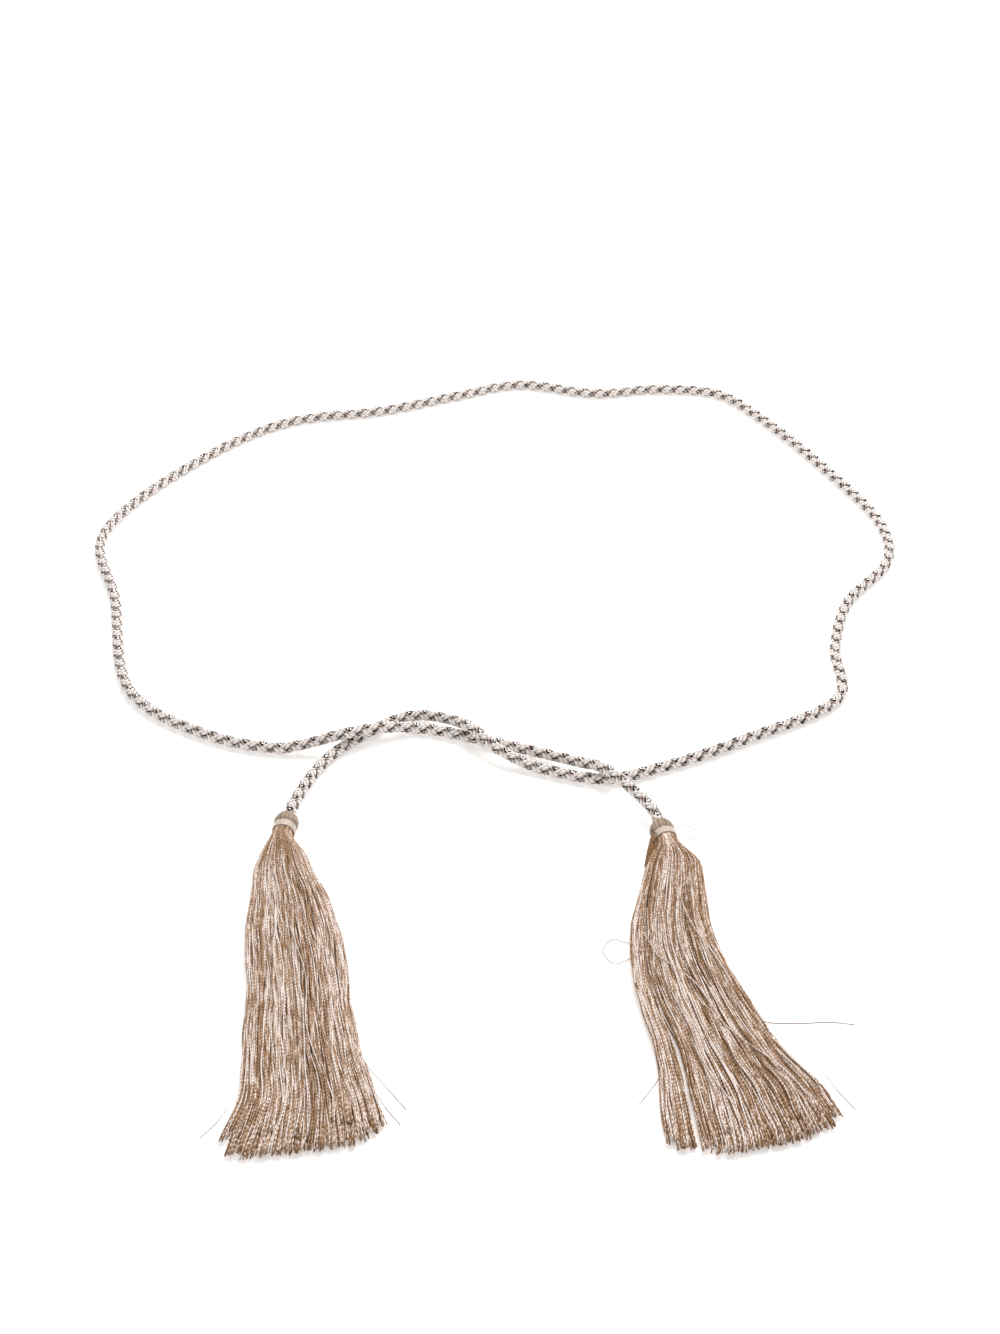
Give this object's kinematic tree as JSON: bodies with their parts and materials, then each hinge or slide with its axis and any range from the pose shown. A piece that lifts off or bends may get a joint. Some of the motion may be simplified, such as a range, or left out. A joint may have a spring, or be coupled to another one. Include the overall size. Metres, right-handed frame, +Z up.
{
  "type": "tassel belt",
  "caption": "Tie belt of braided cord laid in an open loop, its ends crossed over one another and finished with long thread tassels under bound heads.",
  "frame": {"origin": "middle of the box round the two tassels and their bindings, on the surface that the belt lies on", "axes": "+Z up from the surface, -Y along the tassels towards their tips, +Y towards the loop of cord, +X to the right as seen with the tassels nearest"},
  "size_m": [0.4316, 0.5787, 0.0116],
  "materials": {
    "cord": "round braid of satin blush strands with dark silver metallic strands",
    "thread": "glossy twisted viscose threads, rose beige",
    "binding": "satin thread wound into a band"
  },
  "bodies": {
    "root": {"belt_cord": "cord", "left_tassel": "thread", "right_tassel": "thread", "left_binding": "binding", "right_binding": "binding"}
  },
  "joints": []
}
